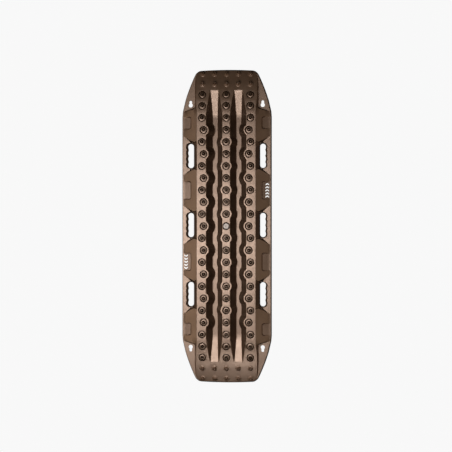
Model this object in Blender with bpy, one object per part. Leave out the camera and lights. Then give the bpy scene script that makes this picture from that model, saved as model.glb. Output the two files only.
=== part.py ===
"""Vehicle recovery traction board: a one-piece moulded deck with bolted-in grip teeth.

Units are metres, +Z is up, +Y runs along the board and z = 0 is the ground that the two
channel floors rest on. The board is symmetric about x = 0, and about y = 0 but for its hand
holds, which all sit a little to the +Y side.
"""

import math

import bmesh
import bpy
import numpy as np
from mathutils import Matrix, Vector

MM = 0.001

# Driving dimensions, in millimetres
HALF_LENGTH = 575.0
HALF_WIDTH = 165.0
DECK_Z = 50.0
FLANGE_Z = 25.0
SKIN = 4.5
LIP_Z = 5.0
RIM_INSET = 4.0
RIM_TOP = 8.0
GAP = 0.3

# Outline: full width up to TAPER_START, then narrowing to the tip
TAPER_START = 405.0
TAPER_RATE = 0.0257
TAPER_POWER = 1.5

# Deck end: each cell between two bends is flat and steeper than the last, in degrees
BENDS = (418.0, 460.5, 500.5, 539.0)
BEND_SLOPES = (4.0, 9.0, 14.0, 18.0)
SHOULDER_Y = 557.7

# Ribs and channels
PITCH = 44.0
LAST_BULGE_ROW = 8
CENTRE_RIB = 14.6
CENTRE_BULGE = 18.4
SIDE_RIB_INNER = 73.4
SIDE_BULGE = 66.0
SIDE_RIB_OUTER = 108.0
END_DECK_EDGE = 113.0
FLOOR_INNER = 33.5
FLOOR_INNER_BULGE = 36.2
FLOOR_OUTER = 53.7
FLOOR_OUTER_BULGE = 46.3
CENTRE_BULGE_STEPS = (14.0, 6.5)
SIDE_BULGE_STEPS = (18.0, 8.0)
RAMP_START = 410.0
RAMP_END = 500.5
RAMP_END_INNER = 28.7
RAMP_END_OUTER = 59.1
WALL_DRAFT = 0.424

# Hand holds and ledges in the skirt
HANDLE_CENTRES = (-250.5, 4.0, 258.5)
SLOT_INNER = 122.4
SLOT_OUTER = 143.2
FINGER_PITCH = 22.0
LONG_LEDGE_Y = 131.0
LONG_LEDGE_HALF = 33.5
SHORT_LEDGE_Y = 378.0
SHORT_LEDGE_HALF = 23.0
LEDGE_HEAD_X = 128.4
LEDGE_FOOT_X = 132.4
LEDGE_SLOPE = 0.23
LEDGE_WALL_RUN = 3.0

# Keyhole in each corner flange
KEYHOLE_X = 132.6
KEYHOLE_Y = 444.0
KEYHOLE_RADIUS = 7.7
KEYHOLE_NECK_Y = 456.0
KEYHOLE_NECK_RADIUS = 5.0

# Teeth
END_ROWS = {10: 440.0, 11: 481.0, 12: 520.0, 13: 558.0}
LAST_ROW = 13
TOOTH_X_EVEN = 83.0
TOOTH_X_ODD = 89.0
TOOTH_X_END = 88.0
EXTRA_TOOTH_X = 43.7
TOOTH_BASE = 10.5
TOOTH_TIP = 5.5
TOOTH_HEIGHT = 13.0
TOOTH_SIDES = 6
STUD_HALF = 3.2
HOLE_HALF = 3.6
NUT_HALF = 4.5
NUT_HEIGHT = 4.0

# Centre cap and the push-on clip under it
CAP_RADIUS = 11.0
CAP_TOP_RADIUS = 9.6
CAP_HEIGHT = 4.0
CAP_SIDES = 16
CAP_STEM_DEPTH = 9.0
CLIP_HALF = 7.0
CLIP_THICKNESS = 1.2

# Marks on two of the long ledges: distance of the zigzag's turns in from the rim
MARK_INSET = (11.3, 4.5)
MARK_LENGTH = 56.0
MARK_ZIGS = 8
MARK_STROKE = 4.6
MARK_THICKNESS = 0.8


def clear_scene():
    for obj in list(bpy.data.objects):
        bpy.data.objects.remove(obj, do_unlink=True)


def material(name, colour, roughness, metallic=0.0):
    mat = bpy.data.materials.new(name)
    mat.use_nodes = True
    shader = mat.node_tree.nodes["Principled BSDF"]
    shader.inputs["Base Color"].default_value = (*colour, 1.0)
    shader.inputs["Roughness"].default_value = roughness
    shader.inputs["Metallic"].default_value = metallic
    return mat


def add_object(name, bm, mat):
    """A finished bmesh, in millimetres, as a named object in metres."""
    bmesh.ops.recalc_face_normals(bm, faces=bm.faces)
    bm.transform(Matrix.Scale(MM, 4))
    mesh = bpy.data.meshes.new(name)
    bm.to_mesh(mesh)
    bm.free()
    mesh.materials.append(mat)
    obj = bpy.data.objects.new(name, mesh)
    bpy.context.scene.collection.objects.link(obj)
    return obj


def half_width(y):
    return HALF_WIDTH - TAPER_RATE * max(0.0, y - TAPER_START) ** TAPER_POWER


def slope_of(y):
    """Downward slope of the deck top at y >= 0, as a tangent."""
    slope = 0.0
    for bend, degrees in zip(BENDS, BEND_SLOPES):
        if y > bend:
            slope = math.tan(math.radians(degrees))
    return slope


def deck_z(y):
    """Height of the deck top at y >= 0."""
    z = DECK_Z
    ends = BENDS[1:] + (HALF_LENGTH,)
    for start, end, degrees in zip(BENDS, ends, BEND_SLOPES):
        z -= math.tan(math.radians(degrees)) * (min(max(y, start), end) - start)
    return z


def skirt_z(x):
    """Height of the sloped skirt between the side rib and the rim."""
    rim = HALF_WIDTH - RIM_TOP
    return DECK_Z - (DECK_Z - FLANGE_Z) * (x - SIDE_RIB_OUTER) / (rim - SIDE_RIB_OUTER)


def ledge_z(x):
    """Height of a ledge, which is less steep than the skirt and meets it at the rim."""
    return FLANGE_Z + LEDGE_SLOPE * (HALF_WIDTH - RIM_TOP - x)


# ---------------------------------------------------------------- deck, ribs and channels


def channel_stations():
    """(y, side bulge 0..1, centre bulge 0..1) for each cross-section of the channels."""
    found = [(0.0, 1.0, 0.0)]
    for row in range(LAST_BULGE_ROW + 1):
        on_side = row % 2 == 0
        foot, head = SIDE_BULGE_STEPS if on_side else CENTRE_BULGE_STEPS
        for offset in (-foot, -head, head, foot):
            y = row * PITCH + offset
            full = abs(offset) == head
            if y > 0.0:
                found.append((y, float(full and on_side), float(full and not on_side)))
    return found + [(y, 0.0, 0.0) for y in (RAMP_START,) + BENDS]


def channel_section(y, side_bulge, centre_bulge):
    """Points from the centre line to the inner edge of the side rib."""
    ramp = min(max((y - RAMP_START) / (RAMP_END - RAMP_START), 0.0), 1.0)
    top = deck_z(y)
    floor = SKIN + ramp * (deck_z(RAMP_END) - SKIN) if ramp < 1.0 else top
    inner = FLOOR_INNER + centre_bulge * (FLOOR_INNER_BULGE - FLOOR_INNER)
    outer = FLOOR_OUTER + side_bulge * (FLOOR_OUTER_BULGE - FLOOR_OUTER)
    inner += ramp * (RAMP_END_INNER - inner)
    outer += ramp * (RAMP_END_OUTER - outer)
    if ramp > 0.0:
        rib = inner - WALL_DRAFT * (top - floor)
        side = outer + WALL_DRAFT * (top - floor)
    else:
        rib = CENTRE_RIB + centre_bulge * (CENTRE_BULGE - CENTRE_RIB)
        side = SIDE_RIB_INNER + side_bulge * (SIDE_BULGE - SIDE_RIB_INNER)
    return [(0.0, y, top), (rib, y, top), (inner, y, floor), (outer, y, floor), (side, y, top)]


def tip_section():
    """The front edge over the ribs, slightly arched."""
    return [tip_point(x) for x in (0.0, RAMP_END_INNER, RAMP_END_INNER, RAMP_END_OUTER, RAMP_END_OUTER)]


def tip_point(x):
    y = HALF_LENGTH - RIM_INSET - 3.0e-4 * x * x
    return (x, y, deck_z(y))


# ---------------------------------------------------------------- skirt, hand holds, ledges


def handle_rows():
    """Half of a hand hold: rows of (x, offset from its centre, z), from its middle outwards."""
    rim = HALF_WIDTH - RIM_TOP
    edge = HALF_WIDTH - RIM_INSET
    rows = []
    for step in range(4):
        cusp = 1.0 - step % 2
        u = step * FINGER_PITCH / 2
        rows.append([
            (SIDE_RIB_OUTER, u, DECK_Z),
            (SLOT_INNER, u, LIP_Z),
            (SLOT_OUTER - 2.4 * cusp, u, LIP_Z),
            (SLOT_OUTER + 6.8 - 2.2 * cusp, u, FLANGE_Z),
            (rim, u, FLANGE_Z),
            (edge, u, FLANGE_Z),
        ])
    rows.append([
        (SIDE_RIB_OUTER, 41.0, DECK_Z),
        (SLOT_INNER + 1.4, 40.0, LIP_Z),
        (SLOT_OUTER - 1.2, 40.0, LIP_Z),
        (SLOT_OUTER + 6.0, 42.0, FLANGE_Z),
        (rim, 42.0, FLANGE_Z),
        (edge, 42.0, FLANGE_Z),
    ])
    rows.append([
        (SIDE_RIB_OUTER, 45.5, DECK_Z),
        (SLOT_INNER + 5.6, 44.5, LIP_Z),
        (SLOT_OUTER - 5.2, 44.5, LIP_Z),
        (SLOT_OUTER + 3.8, 48.0, FLANGE_Z),
        (rim, 50.0, FLANGE_Z),
        (edge, 50.0, FLANGE_Z),
    ])
    rows.append([
        (SIDE_RIB_OUTER, 48.5, DECK_Z),
        (126.6, 46.6, FLANGE_Z),
        (138.0, 50.0, FLANGE_Z),
        (148.5, 54.5, FLANGE_Z),
        (rim, 59.0, FLANGE_Z),
        (edge, 59.0, FLANGE_Z),
    ])
    foot = [(123.6, 47.0), (138.0, 56.0), (150.0, 64.5), (rim, 69.4), (edge, 69.4)]
    rows.append([(SIDE_RIB_OUTER, 51.0, DECK_Z)] + [(x, u, FLANGE_Z) for x, u in foot])
    head = [(SIDE_RIB_OUTER, 54.5), (118.5, 51.0), (138.0, 59.6), (150.0, 66.4), (rim, 70.4)]
    rows.append([(x, u, skirt_z(x)) for x, u in head] + [(edge, 70.4, FLANGE_Z)])
    return rows


def ledge_rows(half):
    """Half of a ledge: its foot row and its head row."""
    rim = HALF_WIDTH - RIM_TOP
    edge = HALF_WIDTH - RIM_INSET
    start = [(SIDE_RIB_OUTER, DECK_Z), (LEDGE_HEAD_X, skirt_z(LEDGE_HEAD_X))]
    end = [(edge, FLANGE_Z)]
    foot = start + [(x, ledge_z(x)) for x in (LEDGE_FOOT_X, 150.0, rim)] + end
    head = start + [(x, skirt_z(x)) for x in (LEDGE_FOOT_X, 150.0, rim)] + end
    return [
        [(x, half - LEDGE_WALL_RUN, z) for x, z in foot],
        [(x, half, z) for x, z in head],
    ]


def placed_rows(half_rows, centre):
    """Rows of a feature that is symmetric about y = centre, in order of y."""
    above = [[(x, centre + u, z) for x, u, z in row] for row in half_rows]
    below = [[(x, centre - u, z) for x, u, z in row] for row in half_rows]
    shared = half_rows[0][0][1] == 0.0
    return below[::-1] + (above[1:] if shared else above)


def end_rows():
    """Skirt rows from the last ledge to the tip: the corner flange stays level."""
    rows = [[
        (SIDE_RIB_OUTER, BENDS[0], DECK_Z),
        (116.5, 430.0, skirt_z(116.5)),
        (127.0, 426.5, skirt_z(127.0)),
        (150.0, 421.5, skirt_z(150.0)),
        (155.7, 420.3, FLANGE_Z),
        (half_width(420.0) - RIM_INSET, 420.0, FLANGE_Z),
    ], [
        (109.5, 437.0, deck_z(437.0)),
        (117.5, 437.0, FLANGE_Z),
        (128.5, 431.5, FLANGE_Z),
        (149.0, 424.5, FLANGE_Z),
        (155.2, 422.5, FLANGE_Z),
        (half_width(422.5) - RIM_INSET, 422.5, FLANGE_Z),
    ]]
    for y, deck_edge, foot in ((BENDS[1], 112.0, 117.5), (BENDS[2], END_DECK_EDGE, 117.5),
                               (BENDS[3], END_DECK_EDGE, 115.6), (SHOULDER_Y, 108.3, 109.2)):
        edge = half_width(y) - RIM_INSET
        row = [(deck_edge, y, deck_z(y))]
        row += [(foot + (edge - foot) * step / 4, y, FLANGE_Z) for step in range(5)]
        rows.append(row)
    corner = [tip_point(84.0), tip_point(93.0)]
    for x, y in ((99.5, 567.2), (104.3, 565.2), (107.9, 562.5), (110.7, 560.0)):
        corner.append((x, y, deck_z(y)))
    return rows + [corner]


def turned_over(rows):
    """Rows of the +Y end, mirrored to the -Y end and put in order of y."""
    return [[(x, -y, z) for x, y, z in row] for row in reversed(rows)]


def skirt_sections():
    """Rows of the +X skirt, over the whole length of the board."""
    low, middle, high = HANDLE_CENTRES
    features = (
        (ledge_rows(SHORT_LEDGE_HALF), -SHORT_LEDGE_Y),
        (handle_rows(), low),
        (ledge_rows(LONG_LEDGE_HALF), -LONG_LEDGE_Y),
        (handle_rows(), middle),
        (ledge_rows(LONG_LEDGE_HALF), LONG_LEDGE_Y),
        (handle_rows(), high),
        (ledge_rows(SHORT_LEDGE_HALF), SHORT_LEDGE_Y),
    )
    rows = turned_over(end_rows())
    for half_rows, centre in features:
        rows += placed_rows(half_rows, centre)
    return rows + end_rows()


def in_slot(a, b):
    """True where two neighbouring rows both reach the slot lip."""
    return a[1][2] == LIP_Z and b[1][2] == LIP_Z


def grid_faces(bm, sections, skipped=None):
    """Quads between neighbouring sections. Returns the rows of vertices."""
    rows = [[bm.verts.new(point) for point in section] for section in sections]
    for i in range(len(rows) - 1):
        for j in range(len(rows[i]) - 1):
            if skipped and skipped(sections[i], sections[i + 1], j):
                continue
            bm.faces.new((rows[i][j], rows[i][j + 1], rows[i + 1][j + 1], rows[i + 1][j]))
    return rows


def zip_faces(bm, left, right):
    """Triangles between two lines of vertices that both run along +Y."""
    i = 0
    j = 0
    while i < len(left) - 1 or j < len(right) - 1:
        step_left = j == len(right) - 1
        if not step_left and i < len(left) - 1:
            step_left = left[i + 1].co.y <= right[j + 1].co.y
        if step_left:
            bm.faces.new((left[i], right[j], left[i + 1]))
            i += 1
        else:
            bm.faces.new((left[i], right[j], right[j + 1]))
            j += 1


def add_rim_wall(bm):
    """Extrudes the outer edge of the sheet outwards and down."""
    outer = [
        edge for edge in bm.edges
        if edge.is_boundary
        and min(v.co.z for v in edge.verts) > 2 * LIP_Z
        and not all(abs(v.co.x) < 1e-6 for v in edge.verts)
    ]
    directions = {}
    for edge in outer:
        along = edge.verts[1].co - edge.verts[0].co
        normal = Vector((along.y, -along.x, 0.0)).normalized()
        if normal.dot(edge.verts[0].co - edge.link_faces[0].calc_center_median()) < 0.0:
            normal.negate()
        for vert in edge.verts:
            directions[vert] = directions.get(vert, Vector()) + normal
    made = bmesh.ops.extrude_edge_only(bm, edges=outer)["geom"]
    lowered = [item for item in made if isinstance(item, bmesh.types.BMVert)]
    for vert in lowered:
        twin = min(directions, key=lambda v: (v.co - vert.co).length_squared)
        outward = directions[twin].normalized()
        if abs(vert.co.x) < 1e-6:
            outward.x = 0.0
        rise = max(0.0, abs(vert.co.y) - BENDS[1]) * 0.04
        vert.co += outward.normalized() * RIM_INSET
        vert.co.z = LIP_Z + rise


def inward_step(vert):
    """The move that takes every face plane round a vertex one skin thickness inwards."""
    rows = []
    for loop in vert.link_loops:
        rows.append(np.array(loop.face.normal) * math.sqrt(loop.calc_angle()))
    weights = np.linalg.norm(rows, axis=1)
    step = np.linalg.lstsq(np.array(rows), -SKIN * weights, rcond=0.12)[0]
    if any(loop.face.normal.z > 0.9999 for loop in vert.link_loops):
        step[2] = -SKIN
    return Vector(step)


def thicken(bm):
    """Turns the open sheet into a closed shell by adding its underside and edge walls."""
    bmesh.ops.recalc_face_normals(bm, faces=bm.faces)
    if sum(face.normal.z for face in bm.faces) < 0.0:
        bmesh.ops.reverse_faces(bm, faces=bm.faces)
    bm.normal_update()
    under = {vert: vert.co + inward_step(vert) for vert in bm.verts}
    faces = list(bm.faces)
    border = [(edge.verts[0], edge.verts[1]) for edge in bm.edges if edge.is_boundary]
    lower = {vert: bm.verts.new(point) for vert, point in under.items()}
    for face in faces:
        bm.faces.new([lower[vert] for vert in reversed(face.verts)])
    for a, b in border:
        bm.faces.new((a, b, lower[b], lower[a]))


def deck_mesh():
    bm = bmesh.new()
    channels = [channel_section(*station) for station in channel_stations()] + [tip_section()]
    channels = turned_over(channels[1:]) + channels
    channel_rows = grid_faces(bm, channels)
    skirt_rows = grid_faces(bm, skirt_sections(), lambda a, b, j: j == 1 and in_slot(a, b))
    zip_faces(bm, [row[-1] for row in channel_rows], [row[0] for row in skirt_rows])
    bmesh.ops.remove_doubles(bm, verts=bm.verts, dist=0.001)
    bmesh.ops.recalc_face_normals(bm, faces=bm.faces)
    add_rim_wall(bm)
    whole = bm.verts[:] + bm.edges[:] + bm.faces[:]
    bmesh.ops.mirror(bm, geom=whole, axis="X", merge_dist=0.001)
    thicken(bm)
    return bm


# ---------------------------------------------------------------- places of the teeth


def row_y(row):
    """Y of tooth row -13 to 13."""
    y = END_ROWS.get(abs(row), abs(row) * PITCH)
    return math.copysign(y, row) if row else 0.0


def side_tooth_x(row):
    if abs(row) > LAST_BULGE_ROW + 1:
        return TOOTH_X_END
    return TOOTH_X_ODD if row % 2 else TOOTH_X_EVEN


def seat(x, y):
    """Frame of a tooth: origin on the deck top, Z along the deck's normal."""
    tilt = math.atan(slope_of(abs(y)))
    turn = Matrix.Rotation(math.copysign(tilt, -y), 4, "X")
    return Matrix.Translation((x, y, deck_z(abs(y)))) @ turn


def tooth_columns():
    """Name of each column of teeth, with the (x, y) of its teeth from the +Y end."""
    rows = range(LAST_ROW, -LAST_ROW - 1, -1)
    columns = {
        "left": [(-side_tooth_x(row), row_y(row)) for row in rows],
        "centre": [(0.0, row_y(row)) for row in rows if row],
        "right": [(side_tooth_x(row), row_y(row)) for row in rows],
    }
    for name, x in (("end_left", -EXTRA_TOOTH_X), ("end_right", EXTRA_TOOTH_X)):
        columns[name] = [(x, row_y(row)) for row in (13, 12, -12, -13)]
    return columns


def tooth_groups(column):
    """Neighbours in a column, in twos from both ends: what is left in the middle is 1, 2 or 3."""
    half = len(column) // 2
    pairs = half // 2
    front = [column[2 * i:2 * i + 2] for i in range(pairs)]
    middle = column[2 * pairs:len(column) - 2 * pairs]
    rest = column[len(column) - 2 * pairs:]
    back = [rest[2 * i:2 * i + 2] for i in range(pairs)]
    if len(middle) == 2:
        return front + [middle[:1], middle[1:]] + back
    return front + ([middle] if middle else []) + back


# ---------------------------------------------------------------- openings in the deck


def prism(bm, outline, place, low, high):
    """A closed prism over an (x, y) outline, between two heights in its own frame."""
    bottom = [bm.verts.new(place @ Vector((x, y, low))) for x, y in outline]
    top = [bm.verts.new(place @ Vector((x, y, high))) for x, y in outline]
    bm.faces.new(bottom[::-1])
    bm.faces.new(top)
    for i in range(len(outline)):
        j = (i + 1) % len(outline)
        bm.faces.new((bottom[i], bottom[j], top[j], top[i]))


def square(half):
    return [(-half, -half), (half, -half), (half, half), (-half, half)]


def keyhole_outline(sign_y):
    """A round hole with a narrower round-ended neck on the side of the board's tip."""
    neck = KEYHOLE_NECK_Y - KEYHOLE_Y
    meet = math.asin(KEYHOLE_NECK_RADIUS / KEYHOLE_RADIUS)
    points = []
    for step in range(9):
        angle = math.pi / 2 + meet + (2 * math.pi - 2 * meet) * step / 8
        points.append((KEYHOLE_RADIUS * math.cos(angle), KEYHOLE_RADIUS * math.sin(angle)))
    for step in range(5):
        angle = math.pi * step / 4
        points.append((
            KEYHOLE_NECK_RADIUS * math.cos(angle),
            neck + KEYHOLE_NECK_RADIUS * math.sin(angle),
        ))
    if sign_y < 0:
        points = [(x, -y) for x, y in reversed(points)]
    return points


def deck_cutters():
    bm = bmesh.new()
    seats = [seat(0.0, 0.0)]
    for column in tooth_columns().values():
        seats += [seat(x, y) for x, y in column]
    for place in seats:
        prism(bm, square(HOLE_HALF), place, -2 * SKIN, SKIN)
    for sign_x in (-1, 1):
        for sign_y in (-1, 1):
            place = Matrix.Translation((sign_x * KEYHOLE_X, sign_y * KEYHOLE_Y, FLANGE_Z))
            prism(bm, keyhole_outline(sign_y), place, -2 * SKIN, SKIN)
    return bm


def build_deck(mat):
    deck = add_object("deck", deck_mesh(), mat)
    cutter = add_object("deck_openings", deck_cutters(), mat)
    cutter.hide_render = True
    cutter.display_type = "WIRE"
    cut = deck.modifiers.new("openings", "BOOLEAN")
    cut.operation = "DIFFERENCE"
    cut.solver = "EXACT"
    cut.object = cutter


# ---------------------------------------------------------------- teeth, cap, marks


def ring(bm, place, outline, z):
    return [bm.verts.new(place @ Vector((x, y, z))) for x, y in outline]


def polygon(sides, radius):
    steps = [math.tau * (i + 0.5) / sides for i in range(sides)]
    return [(radius * math.cos(a), radius * math.sin(a)) for a in steps]


def side_faces(bm, lower, upper):
    """Quads between two rings of the same size, as a list in the order of the ring."""
    count = len(lower)
    return [
        bm.faces.new((lower[i], lower[(i + 1) % count], upper[(i + 1) % count], upper[i]))
        for i in range(count)
    ]


def annulus(bm, outer, inner):
    """Flat face between an outer and an inner ring, which may differ in size."""
    edges = []
    for loop in (outer, inner):
        for i, vert in enumerate(loop):
            follower = loop[(i + 1) % len(loop)]
            edges.append(bm.edges.get((vert, follower)) or bm.edges.new((vert, follower)))
    bmesh.ops.triangle_fill(bm, use_beauty=True, edges=edges)


def add_tooth(bm, place):
    """A flanged cone with a square stud through the deck and a nut under it. Returns the nut's
    faces in ring order: -Y, +X, +Y, -X."""
    tip = ring(bm, place, polygon(TOOTH_SIDES, TOOTH_TIP), TOOTH_HEIGHT)
    base = ring(bm, place, polygon(TOOTH_SIDES, TOOTH_BASE), GAP)
    neck = ring(bm, place, square(STUD_HALF), GAP)
    nut_z = -SKIN - GAP
    seat_ring = ring(bm, place, square(STUD_HALF), nut_z)
    nut_top = ring(bm, place, square(NUT_HALF), nut_z)
    nut_low = ring(bm, place, square(NUT_HALF), nut_z - NUT_HEIGHT)
    bm.faces.new(tip)
    side_faces(bm, base, tip)
    annulus(bm, base, neck)
    side_faces(bm, seat_ring, neck)
    annulus(bm, nut_top, seat_ring)
    bm.faces.new(nut_low[::-1])
    return side_faces(bm, nut_low, nut_top)


def tie_nuts(bm, face_a, face_b):
    """Replaces two facing sides of neighbouring nuts by a bar between them."""
    loop_a = sorted(face_a.verts, key=lambda v: (v.co.z, v.co.x))
    loop_b = sorted(face_b.verts, key=lambda v: (v.co.z, v.co.x))
    bmesh.ops.delete(bm, geom=[face_a, face_b], context="FACES_ONLY")
    order = (0, 1, 3, 2)
    for i in range(4):
        j = (i + 1) % 4
        a, b = order[i], order[j]
        bm.faces.new((loop_a[a], loop_a[b], loop_b[b], loop_b[a]))


def build_teeth(mat):
    for name, column in tooth_columns().items():
        for number, group in enumerate(tooth_groups(column), 1):
            bm = bmesh.new()
            nuts = [add_tooth(bm, seat(x, y)) for x, y in group]
            for ahead, behind in zip(nuts, nuts[1:]):
                tie_nuts(bm, ahead[0], behind[2])
            add_object(f"teeth_{name}_{number:02d}", bm, mat)


def build_cap(cap_mat, clip_mat):
    place = seat(0.0, 0.0)
    bm = bmesh.new()
    top = ring(bm, place, polygon(CAP_SIDES, CAP_TOP_RADIUS), CAP_HEIGHT)
    edge = ring(bm, place, polygon(CAP_SIDES, CAP_RADIUS), CAP_HEIGHT - 1.4)
    base = ring(bm, place, polygon(CAP_SIDES, CAP_RADIUS), GAP)
    neck = ring(bm, place, square(STUD_HALF), GAP)
    end = ring(bm, place, square(STUD_HALF), -CAP_STEM_DEPTH)
    bm.faces.new(top)
    side_faces(bm, edge, top)
    side_faces(bm, base, edge)
    annulus(bm, base, neck)
    side_faces(bm, end, neck)
    bm.faces.new(end[::-1])
    add_object("centre_cap", bm, cap_mat)

    bm = bmesh.new()
    high = -SKIN - GAP
    low = high - CLIP_THICKNESS
    outer_top = ring(bm, place, square(CLIP_HALF), high)
    outer_low = ring(bm, place, square(CLIP_HALF), low)
    inner_top = ring(bm, place, square(STUD_HALF + GAP), high)
    inner_low = ring(bm, place, square(STUD_HALF + GAP), low)
    side_faces(bm, outer_low, outer_top)
    side_faces(bm, inner_top, inner_low)
    side_faces(bm, inner_low, outer_low)
    side_faces(bm, outer_top, inner_top)
    add_object("centre_cap_clip", bm, clip_mat)


def build_marks(mat):
    """A zigzag stroke on the long ledge of the +X side at +Y, and on the opposite one."""
    inner, outer = (-inset for inset in MARK_INSET)
    step = MARK_LENGTH / MARK_ZIGS
    spine = [
        (inner if i % 2 else outer, LONG_LEDGE_Y - MARK_LENGTH / 2 + i * step)
        for i in range(MARK_ZIGS + 1)
    ]
    half = MARK_STROKE / 2
    for name, turn in (("marks_right", 0.0), ("marks_left", math.pi)):
        bm = bmesh.new()
        rim = Matrix.Translation((HALF_WIDTH - RIM_TOP, 0.0, FLANGE_Z))
        lean = Matrix.Rotation(math.atan(LEDGE_SLOPE), 4, "Y")
        place = Matrix.Rotation(turn, 4, "Z") @ rim @ lean
        sections = [
            ring(bm, place, [(x - half, y), (x + half, y)], z)
            for x, y in spine
            for z in (GAP, GAP + MARK_THICKNESS)
        ]
        loops = [
            (sections[i][0], sections[i][1], sections[i + 1][1], sections[i + 1][0])
            for i in range(0, len(sections), 2)
        ]
        for loop_a, loop_b in zip(loops, loops[1:]):
            side_faces(bm, loop_a, loop_b)
        bm.faces.new(loops[0])
        bm.faces.new(loops[-1][::-1])
        add_object(name, bm, mat)


def smooth_round_pieces():
    for obj in bpy.data.objects:
        if obj.name == "centre_cap":
            obj.data.shade_smooth()
            obj.data.set_sharp_from_angle(angle=math.radians(35.0))


def main():
    clear_scene()
    nylon = material("bronze_nylon", (0.115, 0.072, 0.045), 0.42, 0.3)
    tooth_metal = material("bronze_anodised", (0.26, 0.17, 0.11), 0.35, 0.8)
    bare_metal = material("silver_anodised", (0.62, 0.60, 0.57), 0.35, 0.8)
    steel = material("spring_steel", (0.35, 0.35, 0.36), 0.3, 1.0)
    white = material("white_marking", (0.8, 0.8, 0.79), 0.5)
    build_deck(nylon)
    build_teeth(tooth_metal)
    build_cap(bare_metal, steel)
    build_marks(white)
    smooth_round_pieces()


main()
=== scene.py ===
"""Looks of the recovery traction board: a detailed deck, teeth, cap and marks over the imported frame.

Shapes are worked out in millimetres in the frame's own axes (+Z up, +Y along the board) and put
into the scene in metres.
"""

import math
import random

import bmesh
import bpy
from mathutils import Matrix, Vector
from mathutils.geometry import delaunay_2d_cdt


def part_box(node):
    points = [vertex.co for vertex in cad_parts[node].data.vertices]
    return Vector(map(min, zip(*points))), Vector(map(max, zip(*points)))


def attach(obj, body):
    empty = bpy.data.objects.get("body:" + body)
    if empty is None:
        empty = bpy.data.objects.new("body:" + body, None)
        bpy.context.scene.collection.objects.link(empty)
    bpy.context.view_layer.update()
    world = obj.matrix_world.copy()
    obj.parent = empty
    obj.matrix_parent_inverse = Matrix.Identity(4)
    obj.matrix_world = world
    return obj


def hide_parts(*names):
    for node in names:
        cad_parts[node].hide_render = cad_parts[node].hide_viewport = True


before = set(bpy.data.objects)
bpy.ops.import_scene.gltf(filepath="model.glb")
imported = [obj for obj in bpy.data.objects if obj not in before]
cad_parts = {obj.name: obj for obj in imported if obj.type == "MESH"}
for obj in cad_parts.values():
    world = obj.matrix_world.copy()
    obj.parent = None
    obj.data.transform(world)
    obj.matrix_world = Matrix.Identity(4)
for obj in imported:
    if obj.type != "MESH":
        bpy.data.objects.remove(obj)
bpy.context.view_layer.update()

MM = 0.001

# ---------------------------------------------------------------- sizes, in millimetres

# The board, and the heights of its deck, corner flanges and lip
HALF_LENGTH = 575.0
HALF_WIDTH = 165.0
DECK_Z = 50.0
FLANGE_Z = 25.0
SKIN = 4.5
LIP_Z = 5.0
RIM_INSET = 4.0
RIM_TOP = 8.0

# Its width from the middle out
TAPER_START = 405.0
TAPER_RATE = 0.0257
TAPER_POWER = 1.5

# Deck ends: y of each bend, and the slope beyond it in degrees
BENDS = (418.0, 460.5, 500.5, 539.0)
BEND_SLOPES = (4.0, 9.0, 14.0, 18.0)
SHOULDER_Y = 557.7
SHOULDER_X = 105.0
TIP_BOW = 3.0e-4

# Ribs and channels. A boss has one radius at the deck and another at the channel's floor
PITCH = 44.0
LAST_BULGE_ROW = 8
CENTRE_RIB = 14.6
CENTRE_BOSS = (20.2, 37.0)
SIDE_RIB_INNER = 73.4
SIDE_BOSS = (19.3, 38.3)
SIDE_RIB_OUTER = 108.0
END_DECK_EDGE = 113.0
FLOOR_INNER = 33.5
FLOOR_OUTER = 53.7
RAMP_START = 410.0
RAMP_END = BENDS[2]
RAMP_END_INNER = 28.7
RAMP_END_OUTER = 59.1
WALL_DRAFT = 0.424
RIB_FILLET = 3.22
FLOOR_FILLET = 3.5
FILLET_STEPS = 3
FILLET_SHARE = 0.45
TOP_MARGIN = 4.0

# Distances along the board from a boss's middle to the channel's cross-sections beside it
CENTRE_BOSS_STEPS = (0.0, 3.5, 7.0, 10.0, 12.0, 12.93, 14.5, 18.0)
SIDE_BOSS_STEPS = (0.0, 4.0, 8.0, 12.0, 14.5, 15.93, 19.0, 22.0, 23.88)
LEAST_STATION_GAP = 0.3
RAMP_STEPS = 5

# Hand holds
HANDLE_CENTRES = (-250.5, 4.0, 258.5)
SLOT_CENTRE_X = 132.8
SLOT_HALF = 10.4
SLOT_WALL_RUN = 7.0
SLOT_STRAIGHT = 34.0
SLOT_END_RUN = 3.6
FINGER_PITCH = 22.0
FINGER_DEPTH = 2.6
HANDLE_WALL_X = 116.0
HANDLE_CORNER = (121.6, 44.5)
HANDLE_RIB_RUN = 15.5
STRAIGHT_STEPS = 18
TURN_STEPS = 8

# Ledges, which are steps in the skirts
LONG_LEDGE_Y = 131.0
LONG_LEDGE_HALF = 33.5
SHORT_LEDGE_Y = 378.0
SHORT_LEDGE_HALF = 23.0
LEDGE_HEAD_X = 128.4
LEDGE_FOOT_X = 132.4
LEDGE_WALL_RUN = 3.0
LEDGE_SLOPE = 0.23
LEDGE_CORNER = 5.0
LEDGE_HEAD_SPREAD = 1.3
SKIRT_STOP_X = 118.0

# Rounding of the outer rim: how far out and down from the flange's edge, stage by stage
RIM_STAGES = ((0.55, -0.6), (1.35, -1.6))
LIP_RISE = 0.04
SLOT_REACH = SLOT_CENTRE_X + 25.0

# Keyholes in the corner flanges
KEYHOLE_X = 132.6
KEYHOLE_Y = 444.0
KEYHOLE_RADIUS = 7.7
KEYHOLE_NECK = 12.0
KEYHOLE_NECK_RADIUS = 5.0
KEYHOLE_STEPS = 32
KEYHOLE_NECK_STEPS = 16
KEYHOLE_CUT = (-9.0, 4.0)

# Places of the teeth. The end rows stand closer together than the pitch
END_ROWS = {11: 481.0, 12: 520.0, 13: 558.0}
LAST_ROW = 13
LAST_RECESS_ROW = 11
TOOTH_X_EVEN = 83.0
TOOTH_X_ODD = 89.0
TOOTH_X_END = 88.0
EXTRA_TOOTH_X = 43.7

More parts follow.
